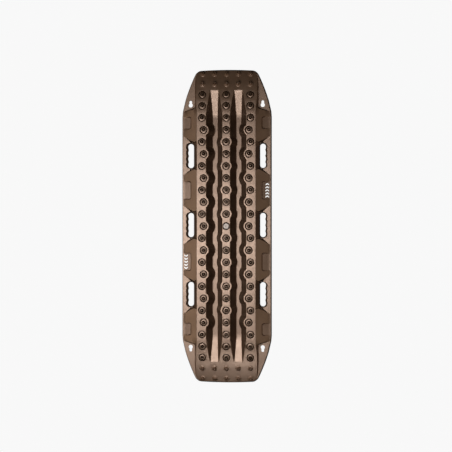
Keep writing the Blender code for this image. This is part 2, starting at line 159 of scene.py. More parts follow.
# Recess round each tooth, as rings of (radius, height)
RECESS_RADIUS = 14.6
RECESS_DEPTH = 7.5
RECESS_PROFILE = ((RECESS_RADIUS, 0.0), (14.2, -0.3), (13.9, -1.0), (10.9, -RECESS_DEPTH))
RECESS_SIDES = 40
RECESS_SKIN = 1.2
THIN_RINGS = 3

# Which faces of the deck take painted shade (steep walls, channel floors) or a painted highlight (boss
# rims), by the face's normal and place
MOULDED, SHADED_WALL, PAINTED_HIGHLIGHT, SHADED_FLOOR = range(4)
SHADED_WALL_NORMAL = (-0.3, 0.6)
SHADED_WALL_MARGIN = 3.0
SLOT_END_NORMAL = 0.5
SLOT_END_REACH = 152.0
SHADED_FLOOR_BAND = (2.0, SKIN + 1.0)
FLAT_NORMAL = 0.985
PAINTED_HIGHLIGHT_DEPTH = 4.0
PAINTED_HIGHLIGHT_BAND = (-4.0, 2.0)

DECK_CREASE = 38.0
SMALL_CREASE = 32.0
WELD = 0.002
TINY = 1e-6

# Materials of a tooth body, in order. The pins of sunk teeth take a much darker copy of the metal as
# painted shade, the end pins a lighter copy
METAL, STEEL, SHADED_PIN, END_PIN = range(4)
CLEARANCE = 0.3
FLANGE_SIDES = 48
DOT_SIDES = 16
NUT_SIDES = 6
STUD_SIDES = 20
CAP_SIDES = 56
CLIP_SIDES = 32
FLUTES = 4
FLUTE_DEPTH = 0.25
FLUTE_FROM = 2.5

# Chevrons on two of the ledges
MARK_X = 149.2
MARK_LENGTH = 56.0
MARK_COUNT = 5
MARK_ARM = 6.6
MARK_RISE = 4.0
MARK_STROKE = 4.8
MARK_LOW = 0.25
MARK_HIGH = 0.9
MARK_TAPER = (0.97, 0.95)


# ---------------------------------------------------------------- profile of the board


def half_width(y):
    """Half the board's width at a distance from its middle: it narrows towards the ends."""
    return HALF_WIDTH - TAPER_RATE * max(0.0, y - TAPER_START) ** TAPER_POWER


def slope_of(y):
    """How steeply the deck falls at a distance from the board's middle."""
    slope = 0.0
    for bend, degrees in zip(BENDS, BEND_SLOPES):
        if y > bend:
            slope = math.tan(math.radians(degrees))
    return slope


def deck_z(y):
    """Height of the deck at a distance from the board's middle."""
    z = DECK_Z
    ends = BENDS[1:] + (HALF_LENGTH,)
    for start, end, degrees in zip(BENDS, ends, BEND_SLOPES):
        z -= math.tan(math.radians(degrees)) * (min(max(y, start), end) - start)
    return z


def skirt_z(x):
    """Height of a skirt between the side rib and the rim."""
    rim = HALF_WIDTH - RIM_TOP
    return DECK_Z - (DECK_Z - FLANGE_Z) * (x - SIDE_RIB_OUTER) / (rim - SIDE_RIB_OUTER)


def ledge_z(x):
    return FLANGE_Z + LEDGE_SLOPE * (HALF_WIDTH - RIM_TOP - x)


def boss_edge(y, odd, radius):
    """Reach of the nearest tooth boss at y from its own centre line, or 0 between bosses."""
    row = round(y / PITCH)
    if row % 2 != odd:
        row += 1 if y / PITCH > row else -1
    if row > LAST_BULGE_ROW or abs(y - row * PITCH) >= radius:
        return 0.0
    return math.sqrt(radius ** 2 - (y - row * PITCH) ** 2)


def fillet(points, radii, steps):
    """A polyline of (x, z) with each inner corner turned into an arc-like run of points."""
    rounded = [points[0]]
    for i in range(1, len(points) - 1):
        here = Vector(points[i])
        back = Vector(points[i - 1]) - here
        ahead = Vector(points[i + 1]) - here
        if min(back.length, ahead.length) < TINY:
            rounded += [tuple(here)] * (steps + 1)
            continue
        turn = math.pi - back.angle(ahead)
        longest = FILLET_SHARE * min(back.length, ahead.length)
        reach = min(radii[i - 1] * math.tan(turn / 2), longest)
        start = here + back.normalized() * reach
        end = here + ahead.normalized() * reach
        for step in range(steps + 1):
            t = step / steps
            curve = start * (1 - t) ** 2 + here * 2 * t * (1 - t) + end * t ** 2
            rounded.append(tuple(curve))
    return rounded + [points[-1]]


# ---------------------------------------------------------------- mesh helpers


class Sheet:
    """An open surface whose vertices are shared by place. Those in thin get a thinner skin."""

    def __init__(self):
        self.bm = bmesh.new()
        self.known = {}
        self.thin = set()

    def vert(self, point):
        key = tuple(round(value * 500.0) for value in point)
        if key not in self.known:
            self.known[key] = self.bm.verts.new(point)
        return self.known[key]

    def face(self, points):
        corners = []
        for point in points:
            vert = self.vert(point)
            if vert not in corners:
                corners.append(vert)
        if len(corners) > 2 and self.bm.faces.get(corners) is None:
            self.bm.faces.new(corners)

    def quarters(self, points):
        """A face and its mirror images in all four quarters of the board."""
        for sy in (1.0, -1.0):
            self.halves([(x, sy * y, z) for x, y, z in points])

    def halves(self, points):
        """A face and its mirror image on the board's other side."""
        for sx in (1.0, -1.0):
            self.face([(sx * x, y, z) for x, y, z in points])

    def strip(self, sections, put, skipped=None):
        """Quads between each section and the next, except where skipped says so."""
        for a, b in zip(sections, sections[1:]):
            for j in range(len(a) - 1):
                if not (skipped and skipped(a, b, j)):
                    put((a[j], a[j + 1], b[j + 1], b[j]))


def inside(point, outline):
    """True where a 2-D point lies in a closed outline."""
    found = False
    x, y = point
    for i, (ax, ay) in enumerate(outline):
        bx, by = outline[i - 1]
        if (ay > y) != (by > y) and x < (bx - ax) * (y - ay) / (by - ay) + ax:
            found = not found
    return found


def circle(centre, radius, sides):
    return [
        (
            centre[0] + radius * math.cos(math.tau * i / sides),
            centre[1] + radius * math.sin(math.tau * i / sides),
        )
        for i in range(sides)
    ]


def fill_plane(sheet, outline, holes, height):
    """Fills a flat outline, leaving out its holes. height(y) gives z."""
    loops = [outline] + holes
    points = []
    edges = []
    for loop in loops:
        first = len(points)
        points += [Vector(point) for point in loop]
        edges += [(first + i, first + (i + 1) % len(loop)) for i in range(len(loop))]
    verts, _, faces, *_ = delaunay_2d_cdt(points, edges, [], 0, TINY)
    for face in faces:
        corners = [verts[i] for i in face]
        middle = sum(corners, Vector((0.0, 0.0))) / len(corners)
        if not inside(middle, outline) or any(inside(middle, hole) for hole in holes):
            continue
        sheet.face([(p.x, p.y, height(p.y)) for p in corners])


def inward_step(vert, thickness, least_lean=0.55, level=0.9999):
    """The move that takes the faces round a vertex one thickness inwards."""
    total = Vector()
    for loop in vert.link_loops:
        total += loop.face.normal * loop.calc_angle()
    total.normalize()
    lean = min(loop.face.normal.dot(total) for loop in vert.link_loops)
    step = -total * thickness / max(lean, least_lean)
    if any(loop.face.normal.z > level for loop in vert.link_loops):
        step.z = -thickness
    return step


def thicken(bm, thickness, thin, thin_skin):
    """Makes a closed skin of an open surface, which stays its upper side."""
    bmesh.ops.recalc_face_normals(bm, faces=bm.faces)
    if sum(face.normal.z * face.calc_area() for face in bm.faces) < 0.0:
        bmesh.ops.reverse_faces(bm, faces=bm.faces)
    bm.normal_update()
    under = {
        vert: vert.co + inward_step(vert, thin_skin if vert in thin else thickness)
        for vert in bm.verts
    }
    faces = list(bm.faces)
    border = [tuple(edge.verts) for edge in bm.edges if edge.is_boundary]
    lower = {vert: bm.verts.new(point) for vert, point in under.items()}
    for face in faces:
        bm.faces.new([lower[vert] for vert in reversed(face.verts)])
    for a, b in border:
        bm.faces.new((a, b, lower[b], lower[a]))
    bmesh.ops.recalc_face_normals(bm, faces=bm.faces)


def add_piece(name, bm, materials, nodes, crease):
    """A finished bmesh, in millimetres, as a piece that rides on the board."""
    bm.transform(Matrix.Scale(MM, 4))
    mesh = bpy.data.meshes.new(name)
    bm.to_mesh(mesh)
    bm.free()
    for mat in materials:
        mesh.materials.append(mat)
    mesh.shade_smooth()
    mesh.set_sharp_from_angle(angle=math.radians(crease))
    obj = bpy.data.objects.new(name, mesh)
    bpy.context.scene.collection.objects.link(obj)
    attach(obj, "root")
    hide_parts(*nodes)
    return obj


# ---------------------------------------------------------------- places of the teeth


def row_y(row):
    """y of a row of teeth, counted from the board's middle."""
    y = END_ROWS.get(abs(row), abs(row) * PITCH)
    return math.copysign(y, row) if row else 0.0


def side_tooth_x(row):
    if abs(row) > LAST_BULGE_ROW + 1:
        return TOOTH_X_END
    return TOOTH_X_ODD if row % 2 else TOOTH_X_EVEN


def seat(x, y):
    """Where a tooth stands on the deck, with its Z along the deck's normal."""
    tilt = math.atan(slope_of(abs(y)))
    turn = Matrix.Rotation(math.copysign(tilt, -y), 4, "X")
    return Matrix.Translation((x, y, deck_z(abs(y)))) @ turn


def tooth_columns():
    """Places of all teeth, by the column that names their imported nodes."""
    rows = range(LAST_ROW, -LAST_ROW - 1, -1)
    columns = {
        "left": [(-side_tooth_x(row), row_y(row)) for row in rows],
        "centre": [(0.0, row_y(row)) for row in rows if row],
        "right": [(side_tooth_x(row), row_y(row)) for row in rows],
    }
    for name, x in (("end_left", -EXTRA_TOOTH_X), ("end_right", EXTRA_TOOTH_X)):
        extra = (LAST_ROW, LAST_ROW - 1, 1 - LAST_ROW, -LAST_ROW)
        columns[name] = [(x, row_y(row)) for row in extra]
    return columns


def seats_of_node(node):
    """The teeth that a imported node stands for: those whose seats lie in its box."""
    low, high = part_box(node)
    column = tooth_columns()[node.split("_", 1)[1].rsplit("_", 1)[0]]
    return [(x, y) for x, y in column if low[1] / MM < y < high[1] / MM]


# ---------------------------------------------------------------- deck


def recess_centres():
    """Places of the teeth that stand in a recess, and of the cap."""
    found = [(0.0, 0.0)]
    for row in range(-LAST_RECESS_ROW, LAST_RECESS_ROW + 1):
        found += [(-side_tooth_x(row), row_y(row)), (side_tooth_x(row), row_y(row))]
        if row:
            found.append((0.0, row_y(row)))
    return found


def channel_stations():
    """y of each cross-section of the channels, close together where a boss bends the wall."""
    found = {0.0}
    for row in range(LAST_BULGE_ROW + 1):
        steps = CENTRE_BOSS_STEPS if row % 2 else SIDE_BOSS_STEPS
        found |= {row * PITCH + sign * step for step in steps for sign in (1, -1)}
    found |= {(LAST_BULGE_ROW + 1) * PITCH, *BENDS}
    for low, high in ((RAMP_START, BENDS[1]), (BENDS[1], RAMP_END)):
        found |= {low + (high - low) * i / RAMP_STEPS for i in range(RAMP_STEPS)}
    stations = sorted(y for y in found if 0.0 <= y <= RAMP_END)
    gaps = [y - before for before, y in zip(stations, stations[1:])]
    return stations[:1] + [y for y, gap in zip(stations[1:], gaps) if gap > LEAST_STATION_GAP]


def channel_section(y):
    """Points across one channel, from the centre rib's top edge to the side rib's."""
    ramp = min(max((y - RAMP_START) / (RAMP_END - RAMP_START), 0.0), 1.0)
    top = deck_z(y)
    floor = SKIN + ramp * (deck_z(RAMP_END) - SKIN)
    if y >= RAMP_END:
        floor = top
    inner = max(FLOOR_INNER, boss_edge(y, 1, CENTRE_BOSS[1]))
    outer = min(FLOOR_OUTER, TOOTH_X_EVEN - boss_edge(y, 0, SIDE_BOSS[1]))
    inner += ramp * (RAMP_END_INNER - inner)
    outer += ramp * (RAMP_END_OUTER - outer)
    if ramp > 0.0:
        rib = inner - WALL_DRAFT * (top - floor)
        side = outer + WALL_DRAFT * (top - floor)
    else:
        rib = max(CENTRE_RIB, boss_edge(y, 1, CENTRE_BOSS[0]))
        side = min(SIDE_RIB_INNER, TOOTH_X_EVEN - boss_edge(y, 0, SIDE_BOSS[0]))
    walls = [(rib, top), (inner, floor), (outer, floor), (side, top)]
    line = [(rib - TOP_MARGIN, top), *walls, (side + TOP_MARGIN, top)]
    radii = (RIB_FILLET, FLOOR_FILLET, FLOOR_FILLET, RIB_FILLET)
    return [(x, y, z) for x, z in fillet(line, radii, FILLET_STEPS)[1:-1]]


def tip_point(x):
    """A point of the slightly bowed front edge."""
    y = HALF_LENGTH - RIM_INSET - TIP_BOW * x * x
    return (x, y, deck_z(y))


def finger_x(u):
    """Outer lip of a hand slot: four shallow scallops that meet in cusps."""
    nearest = (math.floor(abs(u) / FINGER_PITCH) + 0.5) * FINGER_PITCH
    return FINGER_DEPTH * ((abs(u) - nearest) / (FINGER_PITCH / 2)) ** 2


def handle_section(u, top_u, rib_u, foot, inner, outer):
    """One row of a hand hold: rib edge, wall foot, slot edges, rim.

    u, top_u and rib_u are its distances from the hold's middle at the slot's lip, at the slot's
    upper edge and at the rib. inner and outer give the slot's x at its upper edge and at its lip.
    """
    rim = HALF_WIDTH - RIM_TOP
    edge = HALF_WIDTH - RIM_INSET
    return [
        (SIDE_RIB_OUTER, rib_u, DECK_Z),
        (*foot, FLANGE_Z),
        (inner[0], top_u, FLANGE_Z),
        (inner[1], u, LIP_Z),
        (outer[1], u, LIP_Z),
        (outer[0], top_u, FLANGE_Z),
        (rim, top_u, FLANGE_Z),
        (edge, top_u, FLANGE_Z),
    ]


def handle_rows():
    """Rows of a hand hold from its middle outwards: (x, offset, z)."""
    rim = HALF_WIDTH - RIM_TOP
    edge = HALF_WIDTH - RIM_INSET
    lip_x = SLOT_CENTRE_X + SLOT_HALF
    rows = []
    for i in range(STRAIGHT_STEPS):
        u = SLOT_STRAIGHT * i / STRAIGHT_STEPS
        cusp = finger_x(u)
        rows.append(handle_section(
            u, u, u, (HANDLE_WALL_X, u),
            (HANDLE_WALL_X, SLOT_CENTRE_X - SLOT_HALF),
            (lip_x + SLOT_WALL_RUN - cusp, lip_x - cusp),
        ))
    for i in range(TURN_STEPS + 1):
        rise = math.sin(math.pi / 2 * i / TURN_STEPS)
        reach = math.cos(math.pi / 2 * i / TURN_STEPS)
        cusp = finger_x(SLOT_STRAIGHT) * reach
        top_u = SLOT_STRAIGHT + (SLOT_HALF + SLOT_END_RUN) * rise
        inner_top = SLOT_CENTRE_X - (SLOT_CENTRE_X - HANDLE_WALL_X) * reach
        foot = (inner_top, top_u) if inner_top < HANDLE_CORNER[0] else HANDLE_CORNER
        rows.append(handle_section(
            SLOT_STRAIGHT + SLOT_HALF * rise, top_u, SLOT_STRAIGHT + HANDLE_RIB_RUN * rise, foot,
            (inner_top, SLOT_CENTRE_X - SLOT_HALF * reach),
            (
                SLOT_CENTRE_X + (SLOT_HALF + SLOT_WALL_RUN) * reach - cusp,
                SLOT_CENTRE_X + SLOT_HALF * reach - cusp,
            ),
        ))
    foot = [HANDLE_CORNER, (126.0, 47.6), (130.5, 50.9), (138.0, 56.3), (150.0, 64.9), (rim, 69.9)]
    rows.append(
        [(SIDE_RIB_OUTER, 51.0, DECK_Z)]
        + [(x, u, FLANGE_Z) for x, u in foot]
        + [(edge, 69.9, FLANGE_Z)]
    )
    head = [(117.5, 50.0), (123.0, 52.2), (129.0, 55.2), (138.0, 59.9), (150.0, 66.8), (rim, 70.9)]
    rows.append(
        [(SIDE_RIB_OUTER, 54.5, DECK_Z)]
        + [(x, u, skirt_z(x)) for x, u in head]
        + [(edge, 70.9, FLANGE_Z)]
    )
    return rows


def ledge_rows(half):
    """Rows of a ledge from inside its end wall outwards, with rounded inner corners."""
    rim = HALF_WIDTH - RIM_TOP
    edge = HALF_WIDTH - RIM_INSET
    rows = [
        [(SIDE_RIB_OUTER, 0.0, DECK_Z)]
        + [(x, 0.0, skirt_z(x)) for x in (SKIRT_STOP_X, LEDGE_HEAD_X)]
        + [(x, 0.0, ledge_z(x)) for x in (LEDGE_FOOT_X, 140.0, 150.0, rim)]
        + [(edge, 0.0, FLANGE_Z)]
    ]
    for degrees in (0.0, 30.0, 60.0, 90.0):
        angle = math.radians(degrees)
        out = LEDGE_CORNER * (1.0 - math.cos(angle))
        head_x = LEDGE_HEAD_X + out * LEDGE_HEAD_SPREAD
        foot_x = LEDGE_FOOT_X + out
        foot_u = half - LEDGE_WALL_RUN - LEDGE_CORNER * (1.0 - math.sin(angle))
        head_u = foot_u + LEDGE_WALL_RUN * (1.0 - math.cos(angle))
        rows.append(
            [(SIDE_RIB_OUTER, head_u, DECK_Z)]
            + [(x, head_u, skirt_z(x)) for x in (SKIRT_STOP_X, head_x)]
            + [(x, foot_u, ledge_z(x)) for x in (foot_x, max(140.0, foot_x), 150.0, rim)]
            + [(edge, foot_u, FLANGE_Z)]
        )
    corner_x = LEDGE_HEAD_X + LEDGE_CORNER * LEDGE_HEAD_SPREAD
    head = (SKIRT_STOP_X, corner_x, 137.0, 141.0, 150.0, rim)
    rows.append(
        [(SIDE_RIB_OUTER, half, DECK_Z)]
        + [(x, half, skirt_z(x)) for x in head]
        + [(edge, half, FLANGE_Z)]
    )
    return rows


def placed_rows(half_rows, centre):
    """Rows of a feature on both sides of its middle, which lies at y = centre."""
    above = [[(x, centre + u, z) for x, u, z in row] for row in half_rows]
    below = [[(x, centre - u, z) for x, u, z in row] for row in half_rows]
    return below[::-1] + above[1:]


def end_rows():
    """Skirt rows from the last ledge to the tip."""
    rows = [[
        (SIDE_RIB_OUTER, BENDS[0], DECK_Z),
        (116.5, 430.0, skirt_z(116.5)),
        (121.0, 428.5, skirt_z(121.0)),
        (127.0, 426.5, skirt_z(127.0)),
        (138.0, 424.0, skirt_z(138.0)),
        (150.0, 421.5, skirt_z(150.0)),
        (155.7, 420.3, FLANGE_Z),
        (half_width(420.0) - RIM_INSET, 420.0, FLANGE_Z),
    ], [
        (109.5, 437.0, deck_z(437.0)),
        (117.5, 437.0, FLANGE_Z),
        (122.0, 434.3, FLANGE_Z),
        (128.5, 431.5, FLANGE_Z),
        (138.0, 428.0, FLANGE_Z),
        (149.0, 424.5, FLANGE_Z),
        (155.2, 422.5, FLANGE_Z),
        (half_width(422.5) - RIM_INSET, 422.5, FLANGE_Z),
    ]]
    shape = (
        (BENDS[1], 112.0, 117.5),
        (480.0, 112.8, 117.5),
        (BENDS[2], END_DECK_EDGE, 117.5),
        (520.0, END_DECK_EDGE, 116.8),
        (BENDS[3], END_DECK_EDGE, 115.6),
        (550.0, 111.5, 112.9),
        (SHOULDER_Y, 108.3, 109.2),
    )
    for y, deck_edge, foot in shape:
        edge = half_width(y) - RIM_INSET
        row = [(deck_edge, y, deck_z(y))]
        row += [(foot + (edge - foot) * step / 6, y, FLANGE_Z) for step in range(7)]
        rows.append(row)
    return rows


def tip_corner():
    """The rounded corner of the tip, from the front edge round to the shoulder."""
    corner = [tip_point(84.0), tip_point(93.0)]
    edge = (
        (97.0, 567.9), (100.5, 567.0), (103.6, 565.4), (106.4, 563.3), (109.0, 560.9), (111.2, 559.0),
    )
    return corner + [(x, y, deck_z(y)) for x, y in edge]


def rounded_rows(rows, margin=1.4, run=2.0):
    """Rounds the rib edge of every skirt row, which then has two points more."""
    finished = []
    for row in rows:
        (ax, ay, az), (bx, by, bz) = row[0], row[1]
        start = (ax - margin, ay, az)
        along = Vector((bx - ax, by - ay, bz - az))
        reach = min(run / along.length, FILLET_SHARE)
        near = Vector(row[0]) + along * reach
        middle = (
            ax * 0.5 + (start[0] + near.x) * 0.25,
            ay * 0.75 + near.y * 0.25,
            az * 0.75 + near.z * 0.25,
        )
        finished.append([start, middle, tuple(near)] + row[1:])
    return finished


def skirt_rows():
    """Rows of the +X skirt, over the whole length of the board."""
    low, middle, high = HANDLE_CENTRES
    features = (
        (ledge_rows(SHORT_LEDGE_HALF), -SHORT_LEDGE_Y),
        (handle_rows(), low),
        (ledge_rows(LONG_LEDGE_HALF), -LONG_LEDGE_Y),
        (handle_rows(), middle),
        (ledge_rows(LONG_LEDGE_HALF), LONG_LEDGE_Y),
        (handle_rows(), high),
        (ledge_rows(SHORT_LEDGE_HALF), SHORT_LEDGE_Y),
    )
    end = rounded_rows(end_rows())
    rows = [[(x, -y, z) for x, y, z in row] for row in reversed(end)]
    for half_rows, centre in features:
        rows += rounded_rows(placed_rows(half_rows, centre))
    return rows + end


def add_rim_wall(bm):
    """Rounds the sheet's outer edge over and takes it down to the lip."""
    outer = [
        edge for edge in bm.edges
        if edge.is_boundary
        and min(v.co.z for v in edge.verts) > 2 * LIP_Z
        and not all(abs(v.co.x) < SLOT_REACH and abs(v.co.y) < TAPER_START for v in edge.verts)
    ]
    directions = {}
    for edge in outer:
        face = edge.link_faces[0]
        along = edge.verts[1].co - edge.verts[0].co
        normal = Vector((along.y, -along.x, 0.0)).normalized()
        if normal.dot(edge.verts[0].co - face.calc_center_median()) < 0.0:
            normal = -normal
        for vert in edge.verts:
            directions[vert] = directions.get(vert, Vector()) + normal
    tips = {vert: (vert.co.copy(), out.normalized()) for vert, out in directions.items()}
    current = {vert: vert for vert in tips}
    for out, drop in (*RIM_STAGES, (RIM_INSET, None)):
        following = {}
        for vert, (point, direction) in tips.items():
            place = point + direction * out
            lip_z = LIP_Z + max(0.0, abs(point.y) - BENDS[1]) * LIP_RISE
            place.z = point.z + drop if drop else lip_z
            following[vert] = bm.verts.new(place)
        for edge in outer:
            a, b = edge.verts
            bm.faces.new((current[a], current[b], following[b], following[a]))
        current = following


def keyhole_outline():
    """A round hole with a narrower round-ended neck on its +Y side."""
    meet = math.asin(KEYHOLE_NECK_RADIUS / KEYHOLE_RADIUS)
    outline = []
    for step in range(KEYHOLE_STEPS + 1):
        angle = math.pi / 2 + meet + (math.tau - 2 * meet) * step / KEYHOLE_STEPS
        outline.append((KEYHOLE_RADIUS * math.cos(angle), KEYHOLE_RADIUS * math.sin(angle)))
    for step in range(KEYHOLE_NECK_STEPS + 1):
        angle = math.pi * step / KEYHOLE_NECK_STEPS
        outline.append((
            KEYHOLE_NECK_RADIUS * math.cos(angle),
            KEYHOLE_NECK + KEYHOLE_NECK_RADIUS * math.sin(angle),
        ))
    return outline


def cut_keyholes(deck):
    """Cuts the four keyholes out of the corner flanges."""
    bm = bmesh.new()
    outline = keyhole_outline()
    for sx in (1, -1):
        for sy in (1, -1):
            place = Matrix.Translation((sx * KEYHOLE_X, sy * KEYHOLE_Y, FLANGE_Z))
            low, high = (
                [bm.verts.new(place @ Vector((x, sy * y, z))) for x, y in outline]
                for z in KEYHOLE_CUT
            )
            bm.faces.new(low)
            bm.faces.new(high)
            for i in range(len(outline)):
                j = (i + 1) % len(outline)
                bm.faces.new((low[i], low[j], high[j], high[i]))
    bmesh.ops.recalc_face_normals(bm, faces=bm.faces)
    bm.transform(Matrix.Scale(MM, 4))
    mesh = bpy.data.meshes.new("keyhole_cutter")
    bm.to_mesh(mesh)
    bm.free()
    cutter = bpy.data.objects.new("keyhole_cutter", mesh)
    bpy.context.scene.collection.objects.link(cutter)
    cut = deck.modifiers.new("keyholes", "BOOLEAN")
    cut.operation = "DIFFERENCE"
    cut.solver = "EXACT"
    cut.object = cutter
    bpy.context.view_layer.update()
    evaluated = deck.evaluated_get(bpy.context.evaluated_depsgraph_get())
    finished = bpy.data.meshes.new_from_object(evaluated)
    deck.modifiers.clear()
    deck.data = finished
    bpy.data.objects.remove(cutter, do_unlink=True)


def mark_shoulders(mesh, tolerance=0.2):
    """Marks a hard line across the corners of the tips, where smooth shading would blur it."""
    for edge in mesh.edges:
        ends = [mesh.vertices[i].co / MM for i in edge.vertices]
        if all(abs(abs(p.y) - SHOULDER_Y) < tolerance and abs(p.x) > SHOULDER_X for p in ends):
            edge.use_edge_sharp = True


def add_recess(sheet, centre):
    """The round pocket that a tooth's flange stands in, with a rounded upper edge."""
    place = seat(*centre)
    rings = []
    for radius, depth in RECESS_PROFILE:
        ring = circle((0.0, 0.0), radius, RECESS_SIDES)
        rings.append([place @ Vector((x, y, depth)) for x, y in ring])
    for upper, lower in zip(rings, rings[1:]):
        for i in range(RECESS_SIDES):
            j = (i + 1) % RECESS_SIDES
            sheet.face((upper[i], upper[j], lower[j], lower[i]))
    sheet.thin.update(sheet.vert(point) for ring in rings[:THIN_RINGS] for point in ring)
    middle = tuple(place @ Vector((0.0, 0.0, -RECESS_DEPTH)))
    for i in range(RECESS_SIDES):
        sheet.face((rings[-1][i], rings[-1][(i + 1) % RECESS_SIDES], middle))


def recess_loop(centre):
    """Plan of a recess's upper edge."""
    place = seat(*centre)
    ring = circle((0.0, 0.0), RECESS_RADIUS, RECESS_SIDES)
    return [tuple((place @ Vector((x, y, 0.0))).xy) for x, y in ring]


def rib_outlines(channels, skirts):
    """Outlines of the flat parts of the three ribs."""
    centre = [section[0] for section in channels]
    side = [section[-1] for section in channels]
    rim = [row[0] for row in skirts]

    def between(line, low, high):
        return [(x, y) for x, y, _ in line if low - TINY <= y <= high + TINY]

    def mirrored(line, sign_x, sign_y):
        return [(sign_x * x, sign_y * y) for x, y in line]

    found = []
    flat = BENDS[0]
    middle = between(centre, 0.0, flat)
    whole = mirrored(middle[:0:-1], 1, -1) + middle
    found.append(whole + mirrored(whole[::-1], -1, 1))
    inner = between(side, 0.0, flat)
    outer = between(rim, -flat, flat)
    inner = mirrored(inner[:0:-1], 1, -1) + inner
    for sx in (1, -1):
        found.append(mirrored(outer + inner[::-1], sx, 1))
    for low, high in zip(BENDS, BENDS[1:3]):
        for sy in (1, -1):
            line = mirrored(between(centre, low, high), 1, sy)
            found.append(line + mirrored(line[::-1], -1, 1))
            inner = mirrored(between(side, low, high), 1, sy)
            outer = mirrored(between(rim, low, high), 1, sy)
            for sx in (1, -1):
                found.append(mirrored(outer + inner[::-1], sx, 1))
    return found


def end_outlines(channels, skirts):
    """The flat cells of the two ends, which run right across the board."""
    rim = [row[0][:2] for row in skirts]
    ramp_end = next(section for section in channels if section[0][1] == RAMP_END)
    seam = sorted({(x, y) for x, y, _ in ramp_end})
    first = seam + [point for point in rim if BENDS[2] <= point[1] <= BENDS[3]]
    shoulder = [point for point in rim if point[1] >= BENDS[3]]
    last_row = skirts[-1]
    corner = [point[:2] for point in tip_corner()]
    front = [tip_point(x)[:2] for x in (70.0, 56.0, 42.0, 28.0, 14.0)]
    second = shoulder + [p[:2] for p in last_row[1:]] + corner[::-1] + front
    cells = []
    for line, front_y in ((first, None), (second, HALF_LENGTH - RIM_INSET)):
        for sy in (1, -1):
            half = [(x, sy * y) for x, y in line]
            top = [(0.0, sy * front_y)] if front_y else []
            cells.append(half + top + [(-x, y) for x, y in half[::-1]])
    return cells


def deck_material_and_painted_light(face):
    """Which material a face takes: as moulded, steep wall with painted shade, boss rim with a painted
    highlight, or channel floor with painted shade.
    """
    place = face.calc_center_median()
    x, y = abs(place.x), abs(place.y)
    # Painted shade: steep channel walls and the cross walls at the slot ends take a darker copy of the
    # same bronze
    if SHADED_WALL_NORMAL[0] < face.normal.z < SHADED_WALL_NORMAL[1]:
        slot_end = abs(face.normal.y) > SLOT_END_NORMAL and x < SLOT_END_REACH
        return SHADED_WALL if x < SIDE_RIB_OUTER - SHADED_WALL_MARGIN or slot_end else MOULDED
    # Painted shade: channel floors take a copy of the bronze a little darker than the rib tops
    if SHADED_FLOOR_BAND[0] < place.z < SHADED_FLOOR_BAND[1] and x < SIDE_RIB_INNER and y < RAMP_START:
        return SHADED_FLOOR
    # Painted highlight: faces round the upper edge of a boss take a lighter, more reflective copy of
    # the bronze
    row = round(y / PITCH)
    if row > LAST_BULGE_ROW or face.normal.z > FLAT_NORMAL or place.z < DECK_Z - PAINTED_HIGHLIGHT_DEPTH:
        return MOULDED
    centre_x, radius = (0.0, CENTRE_BOSS[0]) if row % 2 else (TOOTH_X_EVEN, SIDE_BOSS[0])
    past_rim = math.hypot(x - centre_x, y - row * PITCH) - radius
    return PAINTED_HIGHLIGHT if PAINTED_HIGHLIGHT_BAND[0] < past_rim < PAINTED_HIGHLIGHT_BAND[1] and x < TOOTH_X_EVEN else MOULDED


def build_deck(materials_with_painted_light):
    sheet = Sheet()
    channels = [channel_section(y) for y in channel_stations()]
    sheet.strip(channels, sheet.quarters)
    skirts = skirt_rows()

    def over_slot(a, b, j):
        return all(point[2] == LIP_Z for point in (a[j], b[j], a[j + 1], b[j + 1]))

    sheet.strip(skirts, sheet.halves, over_slot)
    for outline in rib_outlines(channels, skirts):
        holes = []
        for centre in recess_centres():
            if inside(centre, outline):
                holes.append(recess_loop(centre))
                add_recess(sheet, centre)
        fill_plane(sheet, outline, holes, lambda y: deck_z(abs(y)))
    for outline in end_outlines(channels, skirts):
        fill_plane(sheet, outline, [], lambda y: deck_z(abs(y)))
    bm = sheet.bm
    add_rim_wall(bm)
    bmesh.ops.remove_doubles(bm, verts=bm.verts, dist=WELD)
    thicken(bm, SKIN, {vert for vert in sheet.thin if vert.is_valid}, RECESS_SKIN)
    bm.normal_update()
    for face in bm.faces:
        face.material_index = deck_material_and_painted_light(face)
    deck = add_piece("deck_moulding", bm, materials_with_painted_light, ["deck"], DECK_CREASE)
    cut_keyholes(deck)
    deck.data.set_sharp_from_angle(angle=math.radians(DECK_CREASE))
    mark_shoulders(deck.data)
    weighted = deck.modifiers.new("weighted_normals", "WEIGHTED_NORMAL")
    weighted.keep_sharp = True
    weighted.weight = 80


# ---------------------------------------------------------------- teeth, cap, marks


def lathe(bm, place, profile, sides, lobes=None, material_index=METAL):
    """A turned body about its place's Z, with a flat face at each end. lobes(z) cuts flutes."""
    rings = []
    for radius, z in profile:
        depth = lobes(z) if lobes else 0.0
        ring = []
        for i in range(sides):
            angle = math.tau * i / sides
            waist = radius * (1.0 - depth * (0.5 + 0.5 * math.cos(FLUTES * angle)) ** 2)
            point = Vector((waist * math.cos(angle), waist * math.sin(angle), z))
            ring.append(bm.verts.new(place @ point))
        rings.append(ring)
    for lower, upper in zip(rings, rings[1:]):
        for i in range(sides):
            j = (i + 1) % sides
            bm.faces.new((lower[i], lower[j], upper[j], upper[i])).material_index = material_index
    for ring in (rings[0][::-1], rings[-1]):
        bm.faces.new(ring).material_index = material_index


def flute(z):
    """Depth of the flutes of a tooth's pin at a height above the deck, as a share of its radius."""
    return FLUTE_DEPTH if z > FLUTE_FROM else 0.0


